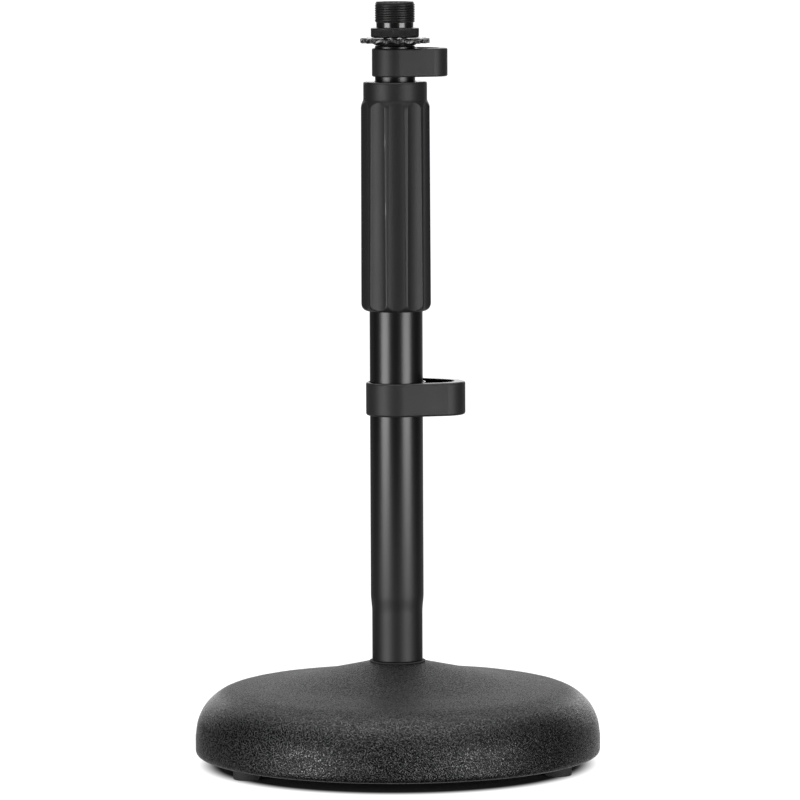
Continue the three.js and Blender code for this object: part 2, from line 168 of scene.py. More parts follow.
def extrude(name, outline, bottom, top):
    """A plate of the outline's shape, in mm, with a hairline bevel round its top and bottom."""
    work = bmesh.new()
    face = work.faces.new([work.verts.new((x * MM, y * MM, bottom * MM)) for x, y in outline])
    raised = bmesh.ops.extrude_face_region(work, geom=[face])
    lifted = [item for item in raised["geom"] if isinstance(item, bmesh.types.BMVert)]
    bmesh.ops.translate(work, verts=lifted, vec=UP * (top - bottom) * MM)
    bmesh.ops.recalc_face_normals(work, faces=work.faces)
    rims = [e for e in work.edges if abs(e.verts[0].co.z - e.verts[1].co.z) < 1e-7]
    bmesh.ops.bevel(work, geom=rims, offset=HAIRLINE * MM, segments=1, profile=0.5, affect="EDGES",
                    clamp_overlap=True)
    caps = [f for f in work.faces if len(f.verts) > 4]
    bmesh.ops.triangulate(work, faces=caps)
    mesh = bpy.data.meshes.new(name)
    work.to_mesh(mesh)
    work.free()
    return finish_mesh(name, mesh)


def apply_modifiers(obj):
    """Bakes an object's modifiers into its mesh."""
    graph = bpy.context.evaluated_depsgraph_get()
    mesh = bpy.data.meshes.new_from_object(obj.evaluated_get(graph), depsgraph=graph)
    obj.modifiers.clear()
    obj.data = mesh


def combine(obj, tool, operation):
    """Joins the tool to the object, or cuts it out of it, and removes the tool."""
    step = obj.modifiers.new("combine", "BOOLEAN")
    step.object = tool
    step.operation = operation
    step.solver = "EXACT"
    apply_modifiers(obj)
    bpy.data.objects.remove(tool)


def even_shading(obj):
    """Lets the large faces set the shading, so that flats stay flat beside their rounded edges."""
    step = obj.modifiers.new("even shading", "WEIGHTED_NORMAL")
    step.keep_sharp = True
    apply_modifiers(obj)


def dress(obj, body, node, material):
    """Puts a finished piece on its CAD body in place of its CAD node."""
    obj.data.materials.clear()
    obj.data.materials.append(material)
    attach(obj, body)
    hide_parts(node)
    return obj


# ---- Materials ----

class Look:
    """A node material with a few short ways to add detail. Texture places are in metres on the piece."""

    def __init__(self, name):
        self.material = bpy.data.materials.new(name)
        self.material.use_nodes = True
        self.tree = self.material.node_tree
        self.shader = self.tree.nodes["Principled BSDF"]
        self.place = self.add("ShaderNodeTexCoord").outputs["Object"]

    def add(self, kind, **settings):
        node = self.tree.nodes.new(kind)
        for key, value in settings.items():
            setattr(node, key, value)
        return node

    def link(self, source, target):
        self.tree.links.new(source, target)

    def set(self, **inputs):
        for key, value in inputs.items():
            self.shader.inputs[key.replace("_", " ")].default_value = value

    def upward(self, low, high):
        """0 to 1 as a face turns from sideways to straight up, between the two heights of its normal."""
        parts = self.add("ShaderNodeSeparateXYZ")
        self.link(self.add("ShaderNodeTexCoord").outputs["Normal"], parts.inputs[0])
        return self.level(parts.outputs["Z"], low, high)

    def height(self):
        """Height on the piece, in metres."""
        split_place = self.add("ShaderNodeSeparateXYZ")
        self.link(self.place, split_place.inputs[0])
        return split_place.outputs["Z"]

    def stretched(self, scale):
        """The piece's own coordinates, stretched by a factor on each axis."""
        mapping = self.add("ShaderNodeMapping")
        mapping.inputs["Scale"].default_value = scale
        self.link(self.place, mapping.inputs["Vector"])
        return mapping.outputs["Vector"]

    def noise(self, size_mm, detail=3.0, distortion=0.0, place=None):
        """Noise whose lumps are about size_mm across."""
        node = self.add("ShaderNodeTexNoise")
        node.inputs["Scale"].default_value = 1 / (size_mm * MM)
        node.inputs["Detail"].default_value = detail
        node.inputs["Distortion"].default_value = distortion
        self.link(place or self.place, node.inputs["Vector"])
        return node.outputs["Fac"]

    def cells(self, size_mm):
        """Round cells about size_mm across: 0 in their middles, rising to their edges."""
        node = self.add("ShaderNodeTexVoronoi", feature="SMOOTH_F1")
        node.inputs["Scale"].default_value = 1 / (size_mm * MM)
        self.link(self.place, node.inputs["Vector"])
        return node.outputs["Distance"]

    def level(self, value, low, high, to_low=0.0, to_high=1.0):
        """Stretches a value between two levels to a new range, and cuts off the rest."""
        node = self.add("ShaderNodeMapRange", clamp=True)
        for key, number in (("From Min", low), ("From Max", high), ("To Min", to_low), ("To Max", to_high)):
            node.inputs[key].default_value = number
        self.link(value, node.inputs["Value"])
        return node.outputs["Result"]

    def sum(self, first, second, operation="ADD"):
        """The sum of two values, or what another operation makes of them."""
        node = self.add("ShaderNodeMath", operation=operation)
        for socket, value in zip(node.inputs, (first, second)):
            if isinstance(value, (int, float)):
                socket.default_value = value
            else:
                self.link(value, socket)
        return node.outputs["Value"]

    def colour(self, factor, dark, light):
        """Base colour between two greys or tints."""
        node = self.add("ShaderNodeMix", data_type="RGBA")
        node.inputs["A"].default_value = (*dark, 1)
        node.inputs["B"].default_value = (*light, 1)
        self.link(factor, node.inputs["Factor"])
        self.link(node.outputs["Result"], self.shader.inputs["Base Color"])

    def roughness(self, factor, low, high):
        """Roughness between two values, as the factor goes from 0 to 1."""
        self.link(self.level(factor, 0, 1, low, high), self.shader.inputs["Roughness"])

    def bump(self, height, depth_mm, strength=1.0):
        """Relief of the given depth. Several calls add up."""
        node = self.add("ShaderNodeBump")
        node.inputs["Distance"].default_value = depth_mm * MM
        node.inputs["Strength"].default_value = strength
        self.link(height, node.inputs["Height"])
        socket = self.shader.inputs["Normal"]
        if socket.is_linked:
            self.link(socket.links[0].from_socket, node.inputs["Normal"])
        self.link(node.outputs["Normal"], socket)


def grey(value, warm=0.0):
    """A grey, or a warmer tint of it."""
    return (value * (1 + warm), value, value * (1 - warm))


def crinkle_coat():
    """Black powder coat that dries in fine worm-like wrinkles: glossy crests, dull hollows."""
    look = Look("crinkle coat")
    worms = look.level(look.noise(0.52, detail=1.2, distortion=0.9), 0.42, 0.66)
    grains = look.level(look.cells(0.55), 0.08, 0.6, 1.0, 0.0)
    relief = look.sum(look.sum(worms, 0.6, "MULTIPLY"), look.sum(grains, 0.4, "MULTIPLY"))
    patches = look.noise(38, detail=2.0)
    look.colour(look.sum(relief, look.sum(patches, 1.2, "MULTIPLY"), "MULTIPLY"), grey(0.001), grey(0.008))
    dust = look.sum(look.upward(0.8, 0.97), 0.25, "MULTIPLY")
    look.link(look.sum(look.level(relief, 0, 1, 0.32, 0.2), dust), look.shader.inputs["Roughness"])
    look.set(IOR=1.45)
    look.link(look.level(relief, 0.15, 0.65, 0.15, 1.0), look.shader.inputs["Specular IOR Level"])
    look.bump(relief, 0.14, 1.0)
    look.bump(look.noise(7, detail=1.0), 0.08, 0.7)
    return look.material


def enamel(name, rough_low, rough_high, foot_wear=0.0):
    """Black enamel on drawn tube: nearly smooth, with a faint drawn grain, duller towards the foot."""
    look = Look(name)
    drawn = look.noise(0.9, detail=2.0, place=look.stretched((1, 1, 0.04)))
    cloud = look.noise(14, detail=3.0, place=look.stretched((1, 1, 0.35)))
    dust = look.level(look.noise(0.5, detail=1.0), 0.74, 0.86)
    look.colour(look.sum(dust, look.sum(cloud, 0.2, "MULTIPLY")), grey(0.0015), grey(0.0075))
    wear = look.level(look.sum(look.sum(drawn, 0.4, "MULTIPLY"), look.sum(cloud, 0.6, "MULTIPLY")),
                      0, 1, rough_low, rough_high)
    look.link(look.sum(wear, look.level(look.height(), 0.055, 0.14, foot_wear, 0.0)),
              look.shader.inputs["Roughness"])
    look.set(Specular_IOR_Level=0.5)
    look.bump(drawn, 0.004, 0.5)
    look.bump(look.noise(2.2, detail=1.0), 0.006, 0.5)
    return look.material


def moulded_plastic(name, grain_mm, grain_depth, dark, light, rough_low, rough_high):
    """Moulded black plastic: spark-eroded grain, faint flow marks and rubbed, glossier edges."""
    look = Look(name)
    grain = look.level(look.noise(grain_mm, detail=2.0), 0.3, 0.7)
    flow = look.noise(9, detail=2.0, place=look.stretched((1, 1, 0.25)))
    rubbed = look.level(look.add("ShaderNodeNewGeometry").outputs["Pointiness"], 0.505, 0.56)
    tone = look.sum(look.sum(grain, 0.3, "MULTIPLY"), look.sum(flow, 0.7, "MULTIPLY"))
    look.colour(look.sum(tone, look.sum(rubbed, 0.5, "MULTIPLY")), grey(dark), grey(light))
    worn = look.level(tone, 0, 1, rough_low, rough_high)
    smooth = look.sum(look.sum(rubbed, 0.14, "MULTIPLY"), look.sum(look.upward(0.6, 0.95), 0.3, "MULTIPLY"))
    look.link(look.sum(worn, smooth, "SUBTRACT"), look.shader.inputs["Roughness"])
    look.link(look.level(rubbed, 0, 1, 0.36, 0.6), look.shader.inputs["Specular IOR Level"])
    look.bump(grain, grain_depth, 0.7)
    look.bump(flow, 0.02, 0.4)
    return look.material


def black_plate(name, rough_low, rough_high, specular, bright_low=0.0, bright_high=0.0):
    """Black plated steel with turning marks and thin plating on its edges.

    Between the two bright heights, in metres, it is burnished."""
    look = Look(name)
    rings = look.noise(0.35, detail=2.0, place=look.stretched((0.12, 0.12, 1)))
    cloud = look.noise(3, detail=3.0)
    edges = look.level(look.add("ShaderNodeNewGeometry").outputs["Pointiness"], 0.53, 0.62)
    look.colour(look.sum(look.sum(cloud, 0.15, "MULTIPLY"), look.sum(edges, 0.6, "MULTIPLY")),
                grey(0.0015), grey(0.05, 0.03))
    from_bright = look.sum(look.sum(look.height(), (bright_low + bright_high) / 2, "SUBTRACT"), 0, "ABSOLUTE")
    half = (bright_high - bright_low) / 2
    dull = look.level(from_bright, half - 0.0002, half + 0.0002)
    worn = look.level(rings, 0, 1, rough_low, rough_high)
    burnished = look.level(rings, 0, 1, 0.14, 0.24)
    gap = look.sum(worn, burnished, "SUBTRACT")
    look.link(look.sum(burnished, look.sum(gap, dull, "MULTIPLY")), look.shader.inputs["Roughness"])
    look.link(look.level(dull, 0, 1, 0.7, specular), look.shader.inputs["Specular IOR Level"])
    look.bump(rings, 0.01, 0.5)
    return look.material


def foot_rubber():
    """Dull black rubber with fine pits."""
    look = Look("foot rubber")
    pits = look.cells(0.6)
    cloud = look.noise(4, detail=3.0)
    look.colour(cloud, grey(0.008), grey(0.022))
    look.roughness(cloud, 0.7, 0.92)
    look.bump(pits, 0.03, 0.6)
    return look.material


def bare_metal(name, dark, light, rough_low, rough_high):
    """Turned metal: fine rings round the axis, stains and a brushed shine."""
    look = Look(name)
    rings = look.noise(0.3, detail=2.0, place=look.stretched((0.1, 0.1, 1)))
    stain = look.noise(5, detail=4.0)
    look.colour(stain, dark, light)
    look.roughness(look.sum(look.sum(rings, 0.6, "MULTIPLY"), look.sum(stain, 0.4, "MULTIPLY")),
                   rough_low, rough_high)
    look.set(Metallic=1.0)
    look.bump(rings, 0.012, 0.6)
    return look.material


def pale_nylon():
    """Natural nylon, slightly see-through under its surface."""
    look = Look("natural nylon")
    cloud = look.noise(6, detail=3.0)
    look.colour(cloud, (0.58, 0.55, 0.47), (0.74, 0.72, 0.66))
    look.roughness(cloud, 0.4, 0.6)
    look.set(Subsurface_Weight=0.2, Subsurface_Scale=0.002)
    look.bump(look.noise(0.5, detail=2.0), 0.01, 0.5)
    return look.material


FLANGE_HEIGHT = 3.7
RELIEF_HEIGHT = 2.2
adapter_low, adapter_top, flange_radius = extent("thread_adapter")
flange_top = adapter_low + FLANGE_HEIGHT
thread_low = flange_top + RELIEF_HEIGHT
relief_band = (flange_top * MM, thread_low * MM)

COAT = crinkle_coat()
GLOSS = enamel("gloss enamel", 0.28, 0.34, foot_wear=0.2)
SATIN = enamel("satin enamel", 0.27, 0.34)
GRIP_PLASTIC = moulded_plastic("grip plastic", 0.35, 0.012, 0.004, 0.009, 0.42, 0.54)
CLIP_PLASTIC = moulded_plastic("clip plastic", 0.45, 0.016, 0.004, 0.010, 0.48, 0.6)
WHEEL_PLATE = black_plate("wheel plate", 0.16, 0.3, 0.7)
ADAPTER_PLATE = black_plate("adapter plate", 0.34, 0.52, 0.28, *relief_band)
RUBBER = foot_rubber()
ZINC = bare_metal("zinc plate", (0.42, 0.43, 0.45), (0.62, 0.62, 0.63), 0.25, 0.42)
BRASS = bare_metal("turned brass", (0.50, 0.34, 0.13), (0.72, 0.54, 0.25), 0.2, 0.36)
NYLON = pale_nylon()


# ---- Base ----

CROWN_START = 12  # height where the straight rim turns into the crown
CROWN_KNOTS = [(79.9, 19), (76, 25.4), (69, 30.1), (58, 32), (46, 33.6), (30, 37.1)]
HUB_RADIUS = 11.5
SHELL_WALL = 5.2
RIM_WALL = 5.6
BOSS_RADIUS = 15
BOSS_BOTTOM = 16
BOLT_HOLE = 4.6
FOOT_BOSS_RADIUS = 7.6
FOOT_BOSS_TOP = 18
STEM_HOLE_RADIUS = 2.9
STEM_HOLE_TOP = 12.6
CASTING_SIDES = 288
FEET = ["foot_1", "foot_2", "foot_3"]


def cast_waviness(angle, radius, height, index):
    """Slow unevenness of a sand casting. It only takes material away."""
    spot = Vector((radius * math.cos(angle), radius * math.sin(angle), height))
    dip = 0.09 * (0.5 + 0.5 * noise.noise(spot * 0.11)) + 0.05 * (0.5 + 0.5 * noise.noise(spot * 0.33))
    outside = smoothstep((radius - HUB_RADIUS - 1) / 4) * smoothstep((height - 6) / 3)
    dip *= outside if index > under_points else 0
    return radius - 0.4 * dip, height - dip


rim_bottom, hub_top, base_radius = extent("base_casting")
rim_inside = base_radius - RIM_WALL
crown = catmull([(base_radius, CROWN_START), *CROWN_KNOTS, (HUB_RADIUS, hub_top)], 110)
under = rounded([
    (BOLT_HOLE, BOSS_BOTTOM, 0.6),
    (BOSS_RADIUS - 1, BOSS_BOTTOM, 1.2),
    (BOSS_RADIUS, hub_top - SHELL_WALL - 3, 3),
    *((radius, height - SHELL_WALL, 5) for radius, height in reversed(CROWN_KNOTS[3:])),
    (rim_inside - 7, CROWN_KNOTS[2][1] - SHELL_WALL, 4),
    (rim_inside - 2, 20, 6),
    (rim_inside, rim_bottom, 0.8),
    (base_radius, rim_bottom, 3),
    (base_radius, CROWN_START, 0),
], steps=6)[:-1]
under_points = len(under)
top_edge = rounded([(HUB_RADIUS, hub_top, 0), (BOLT_HOLE, hub_top, 0.5), (BOLT_HOLE, BOSS_BOTTOM, 0)])[:-1]
casting = revolve("casting", under + crown + top_edge[1:], CASTING_SIDES, cast_waviness)
for foot in FEET:
    boss = revolve(foot + "_boss", rounded([
        (0, rim_bottom, 0),
        (FOOT_BOSS_RADIUS, rim_bottom, 0.8),
        (FOOT_BOSS_RADIUS, FOOT_BOSS_TOP, 1.5),
        (0, FOOT_BOSS_TOP, 0),
    ]), 48, place=middle(foot))
    combine(casting, boss, "UNION")
    stem_hole = revolve(foot + "_hole", [
        (0, 0), (STEM_HOLE_RADIUS, 0), (STEM_HOLE_RADIUS, STEM_HOLE_TOP), (0, STEM_HOLE_TOP),
    ], 32, place=middle(foot))
    combine(casting, stem_hole, "DIFFERENCE")
dress(casting, "base", "base_casting", COAT)

STEM_RADIUS = 2.7
pad_top = rim_bottom - CLEARANCE
for foot in FEET:
    _, stem_top, foot_radius = extent(foot)
    pad = revolve(foot + "_pad", rounded([
        (0, 0, 0),
        (foot_radius - 2.2, 0, 0.2),
        (foot_radius - 2.0, 0.25, 0.2),
        (foot_radius - 1.6, 0, 0.2),
        (foot_radius, 0, 1),
        (foot_radius, pad_top, 0.4),
        (STEM_RADIUS, pad_top, 0.3),
        (STEM_RADIUS, stem_top, 0.6),
        (0, stem_top, 0),
    ]), 96, place=middle(foot))
    dress(pad, "base", foot, RUBBER)


# ---- Fasteners under the base ----

def hexagon(flats):
    """A shape that cuts a turned head down to a hexagon across its flats."""
    def cut(angle, radius, height, index):
        from_flat = (angle + math.pi / 6) % (math.pi / 3) - math.pi / 6
        return min(radius, flats / 2 / math.cos(from_flat)), height
    return cut


def threaded(bottom, top, root, pitch, tip_length):
    """A shape that cuts a right-handed thread between two heights, from the section's radius to the root."""
    def cut(angle, radius, height, index):
        if radius < root or not bottom <= height <= top:
            return radius, height
        turn = (height / pitch - angle / TAU) % 1
        ridge = smoothstep(2.2 * (1 - abs(2 * turn - 1)) - 0.05)
        run_out = smoothstep((height - bottom) / pitch)
        tip = smoothstep((top - height) / tip_length)
        depth = (radius - root) * (1 - ridge * tip)
        return radius - depth * run_out, height
    return cut


bolt_bottom, bolt_top, _ = extent("base_bolt")
BOLT_RADIUS = 4
BOLT_ROOT = 3.4
BOLT_PITCH = 1.25
BOLT_FLATS = 13
HEAD_HEIGHT = 5.3
WASHER_HOLE = 4.2
head_top = bolt_bottom + HEAD_HEIGHT
head_corner = BOLT_FLATS / 2 / math.cos(math.pi / 6)


def bolt_shape(angle, radius, height, index):
    if height <= head_top + 0.01 and radius > BOLT_RADIUS + 0.5:
        return hexagon(BOLT_FLATS)(angle, radius, height, index)
    return threaded(head_top + 4, bolt_top, BOLT_ROOT, BOLT_PITCH, 1.2)(angle, radius, height, index)


def thread_steps(radius, bottom, top, pitch, per_turn=10):
    """Section points close enough together to carry a thread."""
    return split((radius, bottom), (radius, top), max(2, round((top - bottom) / pitch * per_turn)))


bolt = revolve("hex_bolt", [
    (0, bolt_bottom + 0.6), (4.2, bolt_bottom + 0.6), (4.8, bolt_bottom + 0.15), (5.2, bolt_bottom),
    (6.0, bolt_bottom), (6.4, bolt_bottom + 0.1), (head_corner - 0.35, bolt_bottom + 0.55),
    (head_corner, bolt_bottom + 0.95), (head_corner, head_top - 0.5), (head_corner - 0.3, head_top - 0.1),
    (6.4, head_top), (BOLT_RADIUS + 0.4, head_top), (BOLT_RADIUS, head_top + 0.4),
    *thread_steps(BOLT_RADIUS, head_top + 0.4, bolt_top - 0.6, BOLT_PITCH),
    (BOLT_RADIUS, bolt_top - 0.6), (BOLT_ROOT, bolt_top), (0, bolt_top),
], 96, bolt_shape, sharp_degrees=28)
dress(bolt, "base", "base_bolt", ZINC)

low, high, radius = extent("flat_washer")
washer = revolve("plain_washer", rounded([
    (WASHER_HOLE, low, 0.25), (radius, low, 0.15), (radius, high, 0.3), (WASHER_HOLE, high, 0.15)]), 96)
dress(washer, "base", "flat_washer", ZINC)

low, high, radius = extent("spring_washer")
coil = revolve("split_washer", rounded([
    (WASHER_HOLE, low, 0.2), (radius, low, 0.2), (radius, high, 0.2), (WASHER_HOLE, high, 0.2)]), 96)
blade = extrude("blade", [(-0.5, 0), (0.5, 0), (1.1, 20), (0.1, 20)], low - 1, high + 1)
combine(coil, blade, "DIFFERENCE")
dress(coil, "base", "spring_washer", ZINC)


# ---- Tubes ----

SWAGE_RADIUS = 10.1
SWAGE_BOTTOM, SWAGE_TOP = 61.6, 68.9
OUTER_WALL = 1.2
INNER_WALL = 1.1
TUBE_SIDES = 160
RIM_STRETCH = 9  # how far a tube's edge rounding is drawn along its wall before the long faces start

low, high, radius = extent("hub_gasket")
gasket = revolve("fibre_washer", rounded([
    (BOLT_HOLE, low, 0.1), (radius, low, 0.18), (radius, high, 0.18), (BOLT_HOLE, high, 0.1)]), 128)
dress(gasket, "base", "hub_gasket", RUBBER)


def swaged(offset, steps=16):
    """The neck of the outer tube, from its foot up, set in from the outside by an offset."""
    points = []
    for i in range(steps + 1):
        t = i / steps
        radius = SWAGE_RADIUS + (outer_radius - SWAGE_RADIUS) * smoothstep(t)
        points.append((radius - offset, SWAGE_BOTTOM + (SWAGE_TOP - SWAGE_BOTTOM) * t))
    return points


tube_foot, tube_top, outer_radius = extent("outer_tube")
foot_edge = rounded([
    (SWAGE_RADIUS - OUTER_WALL, tube_foot + RIM_STRETCH, 0),
    (SWAGE_RADIUS - OUTER_WALL, tube_foot, 0.25),
    (SWAGE_RADIUS, tube_foot, 0.35),
    (SWAGE_RADIUS, tube_foot + RIM_STRETCH, 0)])
top_rim = rounded([
    (outer_radius, tube_top - RIM_STRETCH, 0),
    (outer_radius, tube_top, 0.3),
    (outer_radius - OUTER_WALL, tube_top, 0.3),
    (outer_radius - OUTER_WALL, tube_top - RIM_STRETCH, 0)])
outside = swaged(0)
tube = revolve("tube_outer", [
    *foot_edge, *outside, *split(outside[-1], top_rim[0], 12), *top_rim,
    *reversed(swaged(OUTER_WALL))], TUBE_SIDES)
dress(tube, "base", "outer_tube", GLOSS)

low, high, radius = extent("inner_tube")
inner = revolve("tube_inner", rounded([
    (radius - INNER_WALL, low, 0.25), (radius, low, 0.3),
    (radius, high, 0.35), (radius - INNER_WALL, high, 0.25)]), TUBE_SIDES)
dress(inner, "inner_tube", "inner_tube", SATIN)

low, high, radius = extent("tube_plug")
plug = revolve("foot_plug", rounded([
    (WASHER_HOLE, low, 0.4), (radius, low, 0.5), (radius, high, 0.5), (WASHER_HOLE, high, 0.4)]), 96)
dress(plug, "base", "tube_plug", ZINC)

low, high, radius = extent("guide_bush")
bush = revolve("slider_bush", rounded([
    (5.5, low, 0.3), (radius, low, 0.6),
    (radius, low + 7, 0.2), (radius - 0.25, low + 8, 0.2), (radius - 0.25, high - 8, 0.2),
    (radius, high - 7, 0.2), (radius, high, 0.4),
    (8.2, high, 0.3), (8.2, low + 2.3, 0.2), (5.5, low + 2.3, 0.3)]), 128)
dress(bush, "tube_slider", "guide_bush", NYLON)


# ---- Clutch ----

CLUTCH_BORE = 8.2  # clears the inner tube
FERRULE_THREAD_RADIUS = 9.9
FERRULE_ROOT = 9.2
FERRULE_PITCH = 2.0

low, high, radius = extent("clutch_ferrule")
flange = tube_top + CLEARANCE
thread_foot = flange + 3.5
ferrule = revolve("threaded_ferrule", [
    *rounded([
        (CLUTCH_BORE, high - 4, 0), (CLUTCH_BORE, low, 0.3), (9.2, low, 0.4), (9.2, flange, 0.1),
        (radius, flange, 0.3), (radius, flange + 2.5, 0.3), (FERRULE_THREAD_RADIUS, flange + 2.5, 0.1),
        (FERRULE_THREAD_RADIUS, thread_foot, 0)]),
    *thread_steps(FERRULE_THREAD_RADIUS, thread_foot, high - 0.6, FERRULE_PITCH, 12),
    (FERRULE_THREAD_RADIUS, high - 0.6), (9.3, high), (8.5, high), (CLUTCH_BORE, high - 0.3)],
    128, threaded(thread_foot, high, FERRULE_ROOT, FERRULE_PITCH, 1.5))
dress(ferrule, "base", "clutch_ferrule", BRASS)

low, high, radius = extent("collet")
jaws = revolve("collet_jaws", rounded([
    (CLUTCH_BORE, low, 0.3), (radius, low, 0.4), (radius, (low + high) / 2, 0.8), (8.9, high, 0.3),
    (CLUTCH_BORE, high, 0.2)]), 128)
saw = extrude("saw", [(-0.8, 0), (0.8, 0), (0.8, 20), (-0.8, 20)], low - 1, high + 1)
combine(jaws, saw, "DIFFERENCE")
dress(jaws, "clutch_press", "collet", NYLON)

low, high, radius = extent("clutch_nut")
collet_low, collet_high, _ = extent("collet")
collet_middle = (collet_low + collet_high) / 2
NUT_RIBS = 24


def nut_ribs(angle, radius, height, index):
    """Straight ribs that key the nut into the moulded grip."""
    if radius < 11.3:
        return radius, height
    return radius - 0.35 * smoothstep(1.5 * abs(2 * (angle * NUT_RIBS / TAU % 1) - 1)), height


nut = revolve("grip_nut", rounded([
    (10.1, low, 0.3), (radius, low, 0.4), (radius, high, 0.4), (8.4, high, 0.3),
    (8.4, collet_high + CLEARANCE, 0.2), (9.1, collet_high + CLEARANCE, 0.1), (9.8, collet_middle, 0.2),
    (10.1, collet_middle - 1, 0.2)]), 192, nut_ribs)
dress(nut, "clutch_grip", "clutch_nut", BRASS)


# ---- Fluted grip ----

FLUTES = 11
FLUTE_DEPTH = 1.0
FLUTE_CUT_RADIUS = 12.4
RIDGE_ANGLE = math.radians(18 - 90)  # one ridge stands 18 degrees to the right of the front
CREST_RADIUS = 14.0
NECK_RADIUS = 13.75
COLLAR_RADIUS = 12.7
COLLAR_BOTTOM = 266.9
SHOULDER = 263.8
CREST_SOFTNESS = 0.05
GRIP_BORE = 8.4
GRIP_HOLLOW = 11
HEEL_WIDTH = 2.7
HEEL_HEIGHT = 3.3
FLUTE_FACES = 40


def soft_least(a, b, softness):
    """The smaller of two values, with the corner between them rounded off."""
    blend = min(max(0.5 + 0.5 * (b - a) / softness, 0.0), 1.0)
    return b + (a - b) * blend - softness * blend * (1 - blend)


def flute_cut(angle, radius, height, index):
    """Round-bottomed flutes, cut straight along the grip so that they run out in arches."""
    if radius < COLLAR_RADIUS - 2.5 or height > COLLAR_BOTTOM + 1:
        return radius, height
    step = TAU / FLUTES
    across = (angle - RIDGE_ANGLE) % step - step / 2
    offset = CREST_RADIUS - FLUTE_DEPTH + FLUTE_CUT_RADIUS
    cut = offset * math.cos(across) - math.sqrt(FLUTE_CUT_RADIUS ** 2 - (offset * math.sin(across)) ** 2)
    return soft_least(radius, cut, CREST_SOFTNESS), height


grip_bottom, grip_top, _ = extent("grip_sleeve")
nut_low, nut_high, nut_radius = extent("clutch_nut")
heel = [(CREST_RADIUS - HEEL_WIDTH + HEEL_WIDTH * x, grip_bottom + HEEL_HEIGHT + HEEL_HEIGHT * y)
        for x, y in arc(0, 0, 1, -90, 0, 16)]
shoulder_curve = catmull([
    (NECK_RADIUS, SHOULDER), (NECK_RADIUS - 0.22, SHOULDER + 0.9), (COLLAR_RADIUS + 0.38, SHOULDER + 1.9),
    (COLLAR_RADIUS + 0.06, COLLAR_BOTTOM - 0.4), (COLLAR_RADIUS, COLLAR_BOTTOM + 0.4)], 36)
collar = rounded([
    (COLLAR_RADIUS, COLLAR_BOTTOM + 2, 0),
    (COLLAR_RADIUS, grip_top, 0.9),
    (GRIP_BORE, grip_top, 0.5),
    (GRIP_BORE, nut_high + CLEARANCE, 0.1),
    (nut_radius + CLEARANCE, nut_high + CLEARANCE, 0.1),
    (nut_radius + CLEARANCE, nut_low - CLEARANCE, 0.1),
    (GRIP_HOLLOW, nut_low - CLEARANCE, 0.1),
    (GRIP_HOLLOW, grip_bottom, 0.25)], steps=6)
body_line = split(heel[-1], shoulder_curve[0], 40)
grip = revolve("fluted_grip", [*heel, *body_line, *shoulder_curve, *collar], FLUTES * FLUTE_FACES, flute_cut)
dress(grip, "clutch_grip", "grip_sleeve", GRIP_PLASTIC)


# ---- Threaded top ----

INCH = 25.4
STUD_RADIUS = 4.76
STUD_ROOT = 4.0
STUD_PITCH = INCH / 16
ADAPTER_PITCH = INCH / 27
ADAPTER_THREAD_RADIUS = 7.94
ADAPTER_ROOT = 7.4

low, high, radius = extent("thread_stud")
_, tube_end, _ = extent("inner_tube")
stud = revolve("stud", [
    (0, low), (radius - 0.5, low), (radius, low + 0.5), (radius, tube_end - 0.3), (radius - 0.3, tube_end),
    (STUD_RADIUS + 0.3, tube_end), (STUD_RADIUS, tube_end + 0.3),
    *thread_steps(STUD_RADIUS, tube_end + 0.3, high - 0.8, STUD_PITCH, 14),
    (STUD_RADIUS, high - 0.8), (STUD_RADIUS - 0.8, high), (2.2, high), (1.2, high - 0.7), (0, high - 0.8)],
    96, threaded(tube_end + 0.3, high - 0.4, STUD_ROOT, STUD_PITCH, 1.0))
dress(stud, "inner_tube", "thread_stud", ZINC)

TEETH = 18
TOOTH_DEPTH = 1.1
wheel_low, wheel_high, wheel_radius = extent("lock_wheel")
DISC_THICKNESS = 1.9
disc_low = wheel_high - DISC_THICKNESS
WHEEL_BORE = STUD_RADIUS + CLEARANCE
TOOTH_ROOT = 11


def teeth(angle, radius, height, index):
    """Rounded teeth round the rim, each one slightly twisted."""
    if radius < TOOTH_ROOT:
        return radius, height
    turn = angle * TEETH / TAU % 1
    gap = 1 - smoothstep((abs(2 * turn - 1) - 0.12) * 2.6)
    outward = smoothstep((radius - 11.5) / 1.5)
    lean = 0.32 * math.sin(TAU * turn) * outward
    squeeze = 1 - 0.3 * outward
    centre = (disc_low + wheel_high) / 2
    notch = TOOTH_DEPTH * gap * smoothstep((radius - TOOTH_ROOT) / 1.4)
    return radius - notch, centre + (height - centre) * squeeze + lean


wheel = revolve("toothed_wheel", rounded([
    (WHEEL_BORE, wheel_low, 0.3),
    (7.8, wheel_low, 0.2),
    (9.3, disc_low, 0.3),
    (11.2, disc_low, 0.1),
    (wheel_radius, disc_low, 0.45),
    (wheel_radius, wheel_high, 0.45),
    (11.2, wheel_high, 0.1),
    (10.2, wheel_high, 0.2),
    (9.9, wheel_high - 0.25, 0.1),
    (WHEEL_BORE, wheel_high - 0.25, 0.3)]), TEETH * 20, teeth)
dress(wheel, "lock_wheel", "lock_wheel", WHEEL_PLATE)

KNURLS = 72
KNURL_DEPTH = 0.3
KNURL_PITCH = 0.92


def knurl(angle, height):
    """Depth of a diamond knurl at one spot, from 0 on the diamonds to 1 in the grooves."""
    along = angle * KNURLS / TAU
    across = (height - adapter_low) / KNURL_PITCH
    left = abs(2 * ((along + across) % 1) - 1)
    right = abs(2 * ((along - across) % 1) - 1)
    return max(left, right) ** 2


